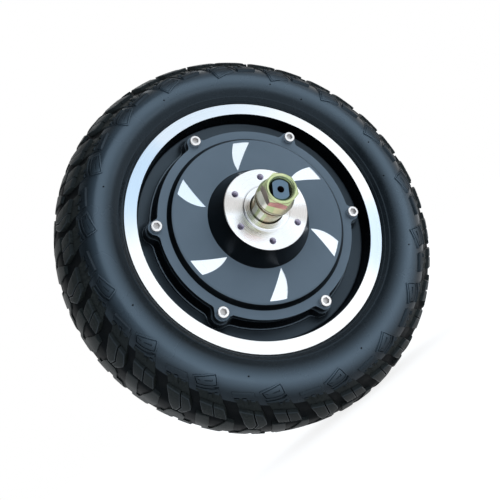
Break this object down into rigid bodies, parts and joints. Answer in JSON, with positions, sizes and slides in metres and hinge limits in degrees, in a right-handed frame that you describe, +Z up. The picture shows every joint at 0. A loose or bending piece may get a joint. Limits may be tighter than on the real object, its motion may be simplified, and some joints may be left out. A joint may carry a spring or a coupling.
{
  "type": "hub motor wheel",
  "caption": "Knobbly tubeless tyre on a cast wheel with a brushless motor inside, turning on a fixed axle.",
  "frame": {"origin": "centre of the wheel, on the axle and half-way between the two sides", "axes": "+Z up, axle along Y, brake side towards -Y"},
  "size_m": [0.264, 0.1622, 0.2628],
  "materials": {
    "tyre_rubber": "moulded rubber, satin sidewall",
    "black_casting": "semi-gloss black paint, bare turned face",
    "black_cover": "fine satin black paint, bare turned face",
    "stainless_screw": "plain stainless",
    "black_rubber": "matt",
    "black_plastic": "matt",
    "bearing_steel": "ground",
    "core_steel": "plain",
    "magnet_nickel": "plated",
    "valve_brass": "plain",
    "axle_steel": "blued, machined",
    "cast_aluminium": "as cast",
    "winding_copper": "enamelled copper",
    "board_green": "satin",
    "yellow_zinc": "yellow passivated zinc"
  },
  "bodies": {
    "axle": {"axle_shaft": "axle_steel", "stator_key": "axle_steel", "stator_carrier": "cast_aluminium", "stator_core": "core_steel", "stator_windings": "winding_copper", "sensor_board": "board_green", "cable_grommet": "black_rubber", "bearing_inner_race_front": "bearing_steel", "bearing_inner_race_rear": "bearing_steel", "spacer_sleeve_front": "yellow_zinc", "spacer_sleeve_rear": "yellow_zinc", "flat_washer_front": "yellow_zinc", "flat_washer_rear": "yellow_zinc", "lock_washer_front": "yellow_zinc", "lock_washer_rear": "yellow_zinc", "axle_nut_front": "yellow_zinc", "axle_nut_rear": "yellow_zinc"},
    "wheel": {"tyre": "tyre_rubber", "wheel_casting": "black_casting", "front_cover": "black_cover", "rear_cover": "black_cover", "cover_screw_front_1": "stainless_screw", "cover_screw_front_2": "stainless_screw", "cover_screw_front_3": "stainless_screw", "cover_screw_front_4": "stainless_screw", "cover_screw_front_5": "stainless_screw", "cover_screw_front_6": "stainless_screw", "cover_screw_rear_1": "stainless_screw", "cover_screw_rear_2": "stainless_screw", "cover_screw_rear_3": "stainless_screw", "cover_screw_rear_4": "stainless_screw", "cover_screw_rear_5": "stainless_screw", "cover_screw_rear_6": "stainless_screw", "cover_gasket_front": "black_rubber", "cover_gasket_rear": "black_rubber", "dust_seal_front": "black_rubber", "dust_seal_rear": "black_rubber", "bearing_outer_race_front": "bearing_steel", "bearing_outer_race_rear": "bearing_steel", "bearing_ball_ring_front": "bearing_steel", "bearing_ball_ring_rear": "bearing_steel", "rotor_ring": "core_steel", "magnet_ring": "magnet_nickel", "valve_stem": "valve_brass", "valve_cap": "black_plastic"}
  },
  "joints": [
    {"name": "wheel_spin", "type": "hinge", "parent": "axle", "child": "wheel", "pos_m": [0, 0, 0], "axis": [0, 1, 0], "continuous": true}
  ]
}
